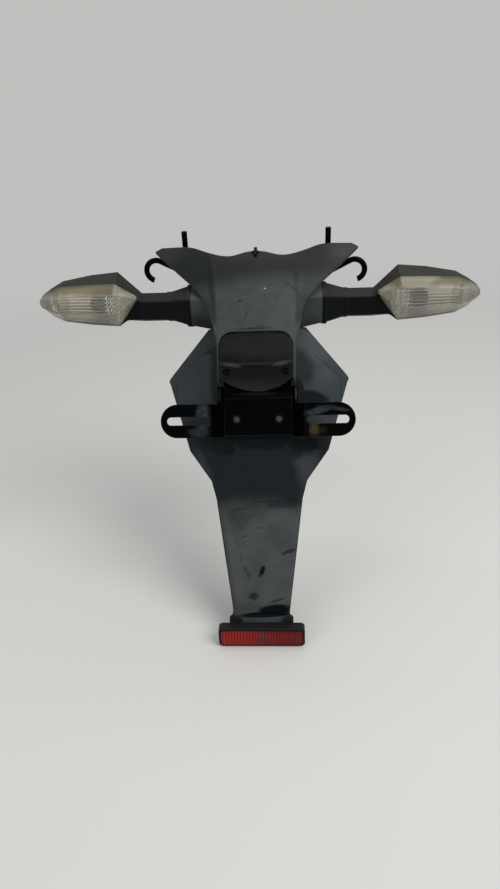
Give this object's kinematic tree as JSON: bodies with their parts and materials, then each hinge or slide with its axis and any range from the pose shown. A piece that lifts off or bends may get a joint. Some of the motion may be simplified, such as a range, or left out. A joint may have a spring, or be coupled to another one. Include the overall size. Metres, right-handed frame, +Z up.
{
  "type": "tail tidy",
  "caption": "Motorbike tail tidy: moulded cover with horns, slotted plate bracket on a long mud flap, plate lamp, clear indicators on rubber stalks, red reflector.",
  "frame": {"origin": "on the top face of the steel stay, half way between its two mounting holes and its two locating pins", "axes": "+X to the right seen from behind the bike, +Y forwards along the bike, +Z up"},
  "size_m": [0.4568, 0.2188, 0.3915],
  "materials": {
    "faded_plastic": "moulded, faded",
    "flap_plastic": "moulded, stained",
    "black_paint": "gloss black",
    "zinc_steel": "zinc plated",
    "lamp_plastic": "moulded, worn",
    "stalk_rubber": "satin",
    "indicator_plastic": "moulded",
    "clear_lens": "clear, yellowed",
    "lamp_clear": "clear",
    "silvered_plastic": "metallised",
    "bulb_amber": "amber glass",
    "bulb_clear": "clear glass",
    "reflector_black": "moulded",
    "reflector_red": "ribbed red"
  },
  "bodies": {
    "root": {"upper_cover": "faded_plastic", "mud_flap": "flap_plastic", "inner_fender": "flap_plastic", "plate_bracket": "black_paint", "stay": "black_paint", "edge_clip": "black_paint", "bracket_nuts": "black_paint", "lamp_screws": "black_paint", "tie_hook_right": "black_paint", "tie_hook_left": "black_paint", "locating_pin_right": "black_paint", "locating_pin_left": "black_paint", "cover_screws": "zinc_steel", "flap_screws": "zinc_steel", "bracket_bolts": "zinc_steel", "stay_bolts": "zinc_steel", "stay_nuts": "zinc_steel", "reflector_stud": "zinc_steel", "reflector_nut": "zinc_steel", "lens_screw_right": "zinc_steel", "lens_screw_left": "zinc_steel", "stalk_stud_right": "zinc_steel", "stalk_stud_left": "zinc_steel", "stalk_nut_right": "zinc_steel", "stalk_nut_left": "zinc_steel", "lamp_housing": "lamp_plastic", "lamp_base": "lamp_plastic", "lamp_socket": "lamp_plastic", "rubber_stalk_right": "stalk_rubber", "rubber_stalk_left": "stalk_rubber", "indicator_housing_right": "indicator_plastic", "indicator_housing_left": "indicator_plastic", "bulb_holder_right": "indicator_plastic", "bulb_holder_left": "indicator_plastic", "indicator_lens_right": "clear_lens", "indicator_lens_left": "clear_lens", "lamp_lens": "lamp_clear", "indicator_liner_right": "silvered_plastic", "indicator_liner_left": "silvered_plastic", "indicator_bulb_right": "bulb_amber", "indicator_bulb_left": "bulb_amber", "lamp_bulb": "bulb_clear", "reflector_housing": "reflector_black", "reflector_lens": "reflector_red"}
  },
  "joints": []
}
